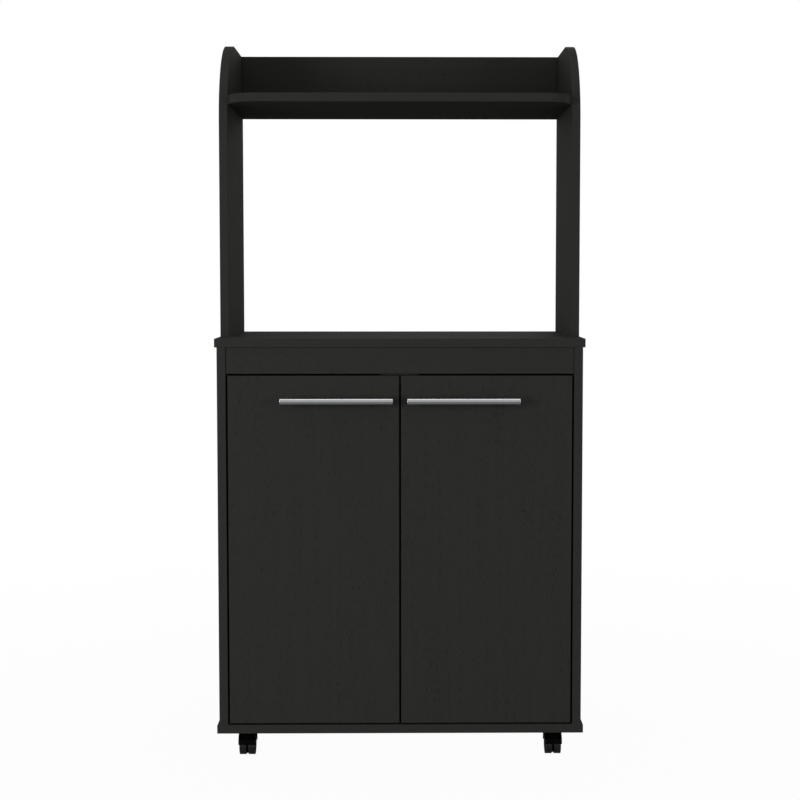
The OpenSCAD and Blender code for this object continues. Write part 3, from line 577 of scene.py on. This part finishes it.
@dataclass(frozen=True)
class TurnedBeech(Finish):
    """Beech rod: pinkish straw with short brown rays."""

    straw: str = "#c8a27a"
    ray: str = "#96704c"
    ray_mm: Vec3 = (0.5, 0.5, 3.0)
    ray_band: Pair = (0.5, 0.62)
    # Between the rays and on them
    roughness: Pair = (0.6, 0.75)
    ray_depth_mm: float = 0.03

    def paint(self, tree: Tree) -> Look:
        """Adds the rays.

        Args:
            tree: The material's node tree.

        Returns:
            What the shader is given.
        """
        rays = add(tree, "MapRange", (speckle(tree, self.ray_mm, detail=2.0), *self.ray_band))
        colour = add(tree, "Mix", (rays, linear(self.straw), linear(self.ray)), data_type="RGBA")
        rough = add(tree, "MapRange", (rays, 0.0, 1.0, *self.roughness))
        return Look({"Base Color": colour, "Roughness": rough}, rays, self.ray_depth_mm)


@dataclass(frozen=True)
class GroundFerrite(Finish):
    """Sintered ferrite with a ground face: charcoal, with the grinder's straight lines."""

    charcoal: str = "#3a3a3c"
    metallic: float = 0.5
    line_mm: Vec3 = (20.0, 0.3, 0.3)
    line_band: Pair = (0.3, 0.7)
    roughness: Pair = (0.35, 0.55)
    line_depth_mm: float = 0.01

    def paint(self, tree: Tree) -> Look:
        """Adds the grinder's lines.

        Args:
            tree: The material's node tree.

        Returns:
            What the shader is given.
        """
        lines = speckle(tree, self.line_mm, detail=2.0)
        rough = add(tree, "MapRange", (lines, *self.line_band, *self.roughness))
        return Look({"Base Color": linear(self.charcoal), "Metallic": self.metallic,
                     "Roughness": rough}, lines, self.line_depth_mm)


# ---- Sub-assemblies ----------------------------------------------------------------------------


def coat(finish: Finish, *nodes: str) -> None:
    """Gives CAD nodes a finish, and leaves their shapes alone.

    Args:
        finish: What the nodes are made of.
        nodes: Names of the nodes.
    """
    for name in nodes:
        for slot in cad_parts[name].material_slots:
            slot.material = finish.material()
        LOG.info("%s: %s", name, type(finish).__name__)


class Side(Enum):
    """The left or the right half of the cart, seen from the front."""

    LEFT = "left"
    RIGHT = "right"


class End(Enum):
    """The front or the rear of the cart."""

    FRONT = "front"
    REAR = "rear"


@dataclass
class Carcass:
    """The pieces that stand still: boards, their fittings, and the fixed half of hinges, catch and
    casters.
    """

    def dress(self) -> None:
        """Gives each board its grain direction and each fitting its metal."""
        for side in Side:
            coat(PressedMelamine(grain=Axis.Z, face=Axis.X), f"side_panel_{side.value}")
            coat(PressedMelamine(grain=Axis.Z, face=Axis.X, bare_rear=True),
                 f"upright_{side.value}")
        coat(PressedMelamine(grain=Axis.X, face=Axis.Z, bare_rear=True),
             "base_panel", "worktop", "inner_shelf", "top_shelf")
        coat(PressedMelamine(grain=Axis.X, face=Axis.Y), "fascia_rail", "back_rail")
        coat(PrintedHardboard(), "back_panel")
        coat(NICKEL_PLATE, "hinge_plates", "hinge_arms", "hinge_screws", "shelf_pins")
        coat(ZINC_PLATE, "back_panel_nails", "confirmat_screws", "cam_bolts", "catch_screws",
             "caster_plates", "caster_screws")
        coat(CastZinc(), "cam_locks")
        coat(TurnedBeech(), "dowels")
        coat(SparkedPlastic(), "screw_caps", "catch_body")
        coat(GroundFerrite(), "catch_magnets")


@dataclass
class Door:
    """One door with its bar handle and the swinging half of its hinges."""

    side: Side

    def dress(self) -> None:
        """Gives the board, the handle and the fittings their finishes."""
        name = self.side.value
        coat(PressedMelamine(grain=Axis.Z, face=Axis.Y), f"door_{name}")
        coat(BrushedNickel(), f"handle_bar_{name}", f"handle_posts_{name}")
        coat(NICKEL_PLATE, f"hinge_cups_{name}", f"cup_screws_{name}", f"strike_plate_{name}")
        coat(ZINC_PLATE, f"handle_screws_{name}", f"hinge_pins_{name}")


@dataclass
class Caster:
    """The turning pieces of one hooded twin-wheel caster."""

    end: End
    side: Side
    # Places the axle to a hundredth of a millimetre
    decimals: int = 5

    def dress(self) -> None:
        """Gives the hood, the axle and both wheels their finishes."""
        name = f"caster_{self.end.value}_{self.side.value}"
        low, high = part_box(f"{name}_axle")
        middle = (low + high) / 2
        coat(GlossNylon(), f"{name}_housing")
        coat(ZINC_PLATE, f"{name}_axle")
        axle = (0.0, round(middle.y, self.decimals), round(middle.z, self.decimals))
        coat(RolledNylon(axle=axle), f"{name}_wheel_l", f"{name}_wheel_r")


# ---- Studio ------------------------------------------------------------------------------------


@dataclass(frozen=True)
class Lamp:
    """A square softbox. Its place, the point that it aims at and its width are in metres."""

    name: str
    place: Vec3
    aim: Vec3
    width: float
    watts: float

    def make(self) -> None:
        """Makes the lamp and turns it to its aim."""
        data = bpy.data.lights.new(self.name, "AREA")
        data.shape = "SQUARE"
        data.size = self.width
        data.energy = self.watts
        lamp = bpy.data.objects.new(self.name, data)
        bpy.context.scene.collection.objects.link(lamp)
        lamp.location = self.place
        beam = Vector(self.aim) - Vector(self.place)
        lamp.rotation_euler = beam.to_track_quat("-Z", "Y").to_euler()


def seen_by_camera(tree: Tree) -> Node:
    """Tells the camera's rays from those that carry light and reflections.

    Args:
        tree: The material's or world's node tree.

    Returns:
        The node that gives 1 to what the camera sees, straight or through something clear.
    """
    path = add(tree, "LightPath")
    rays = (path.outputs["Is Camera Ray"], path.outputs["Is Transmission Ray"])
    return add(tree, "Math", rays, operation="MAXIMUM")


@dataclass(frozen=True)
class Studio:
    """Pale floor, soft lamps and a camera that stands where the photograph was taken from."""

    # Where the camera stands, in metres and degrees, from a model fitted to the photograph's edges
    camera_place: Vec3 = (0.0006, -3.065, 0.842)
    pitch_down: float = 4.03
    yaw_right: float = 0.62
    lens_mm: float = 77.07
    sensor_mm: float = 36.0
    # Sideways and upward, in widths of the picture
    shift: Pair = (-0.0236, -0.0087)
    floor_radius: float = 30.0
    floor_rings: int = 24
    floor_spokes: int = 96
    floor_grey: str = "#8e8e8c"
    # Share of plain white in what the camera sees of the floor at the cart, where its shadow is,
    # and the distances from the cart's middle over which that share rises to 1
    floor_white: float = 0.97
    shadow_fade: Pair = (0.3, 2.2)
    world_level: float = 0.57
    # What gloss sees of the surround, as shares of white: in front of the cart and behind it
    gloss_levels: Pair = (0.65, 0.7)
    # How far backward a reflection looks, from -1 to 1, where the one share ends and where the
    # other begins
    gloss_turn: Pair = (-0.2, 0.5)
    lamps: tuple[Lamp, ...] = (
        Lamp("key_softbox", (-1.9, -2.4, 0.8), (0.0, 0.0, 0.6), 1.1, 42.0),
        Lamp("fill_softbox", (2.0, -2.4, 0.8), (0.0, 0.0, 0.6), 1.1, 20.5),
        Lamp("top_softbox", (0.0, -0.2, 3.4), (0.0, 0.0, 0.0), 1.6, 9.5),
        Lamp("rear_softbox", (0.6, 3.2, 2.4), (0.0, 0.0, 0.6), 1.8, 9.0),
        Lamp("rear_left_softbox", (-2.6, 1.6, 0.7), (0.0, 0.0, 0.6), 1.1, 7.0),
        Lamp("rear_right_softbox", (2.6, 1.6, 0.7), (0.0, 0.0, 0.6), 1.1, 7.0),
    )

    def make_camera(self) -> None:
        """Makes the camera that looks along +Y, a little down and a little to the right."""
        data = bpy.data.cameras.new("photo_camera")
        data.lens = self.lens_mm
        data.sensor_width = self.sensor_mm
        data.shift_x, data.shift_y = self.shift
        camera = bpy.data.objects.new("photo_camera", data)
        bpy.context.scene.collection.objects.link(camera)
        camera.location = self.camera_place
        # An unturned camera looks straight down, so a level one is tilted by 90 degrees
        tilt, turn = math.radians(90 - self.pitch_down), math.radians(-self.yaw_right)
        camera.rotation_euler = Euler((tilt, 0.0, turn), "XYZ")
        bpy.context.scene.camera = camera

    def make_world(self) -> None:
        """Makes an even grey surround. The picture shows it white, and so does anything clear.
        Gloss mirrors it pale grey, a little dimmer in front of the cart than behind it, because
        the bars in the photograph are that grey.
        """
        world = bpy.data.worlds.new("studio_surround")
        bpy.context.scene.world = world
        tree = empty_tree(world)
        direction = add(tree, "SeparateXYZ", (add(tree, "TexCoord").outputs["Generated"],))
        mirrored = add(tree, "MapRange",
                       (direction.outputs["Y"], *self.gloss_turn, *self.gloss_levels))
        glossy = add(tree, "LightPath").outputs["Is Glossy Ray"]
        unseen = add(tree, "Mix", (glossy, self.world_level, mirrored))
        level = add(tree, "Mix", (seen_by_camera(tree), unseen, 1.0))
        add(tree, "OutputWorld", (add(tree, "Background", (WHITE, level)),))

    def floor_material(self) -> bpy.types.Material:
        """White studio floor: it shows white like the surround, but keeps a soft shadow.

        Returns:
            The floor's material.
        """
        made = bpy.data.materials.new("matt_white_floor")
        tree = empty_tree(made)
        matt = add(tree, "BsdfDiffuse", (linear(self.floor_grey),))
        white = add(tree, "Emission", (WHITE, 1.0))
        place = add(tree, "TexCoord").outputs["Object"]
        away = add(tree, "VectorMath", (place,), operation="LENGTH")
        plain = add(tree, "MapRange", (away, *self.shadow_fade, self.floor_white, 1.0))
        share = add(tree, "Math", (plain, seen_by_camera(tree)), operation="MULTIPLY")
        add(tree, "OutputMaterial", (add(tree, "MixShader", (share, matt, white)),))
        return made

    def make_floor(self) -> None:
        """Makes a round floor: ring r of the grid has radius floor_radius times (r / rings)
        squared, so that its cells are small near the cart, and one face closes the first ring.
        """
        rings, spokes = self.floor_rings, self.floor_spokes
        radius = self.floor_radius * (np.arange(1, rings + 1) / rings) ** 2
        turn = np.linspace(0.0, 2 * np.pi, spokes, endpoint=False)
        grid = np.stack([np.outer(radius, np.cos(turn)), np.outer(radius, np.sin(turn)),
                         np.zeros((rings, spokes))], axis=-1).reshape(-1, 3)
        ring, spoke = np.meshgrid(np.arange(rings - 1), np.arange(spokes), indexing="ij")
        after = (spoke + 1) % spokes
        quads = np.stack([ring * spokes + spoke, (ring + 1) * spokes + spoke,
                          (ring + 1) * spokes + after, ring * spokes + after], axis=-1)
        hub = list(range(spokes))
        mesh = bpy.data.meshes.new("studio_floor")
        mesh.from_pydata(grid.tolist(), [], quads.reshape(-1, 4).tolist() + [hub])
        mesh.materials.append(self.floor_material())
        floor = bpy.data.objects.new("studio_floor", mesh)
        bpy.context.scene.collection.objects.link(floor)

    def build(self) -> None:
        """Builds the whole studio, and leaves colours as they are written."""
        bpy.context.scene.view_settings.view_transform = "Standard"
        self.make_camera()
        self.make_world()
        self.make_floor()
        for lamp in self.lamps:
            lamp.make()
            LOG.info("%s: %g W", lamp.name, lamp.watts)


def main() -> None:
    """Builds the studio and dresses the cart."""
    logging.basicConfig(level=logging.INFO, format="%(name)s: %(message)s")
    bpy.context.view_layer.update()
    Studio().build()
    Carcass().dress()
    for side in Side:
        Door(side).dress()
    for end in End:
        for side in Side:
            Caster(end, side).dress()


if __name__ == "__main__":
    main()
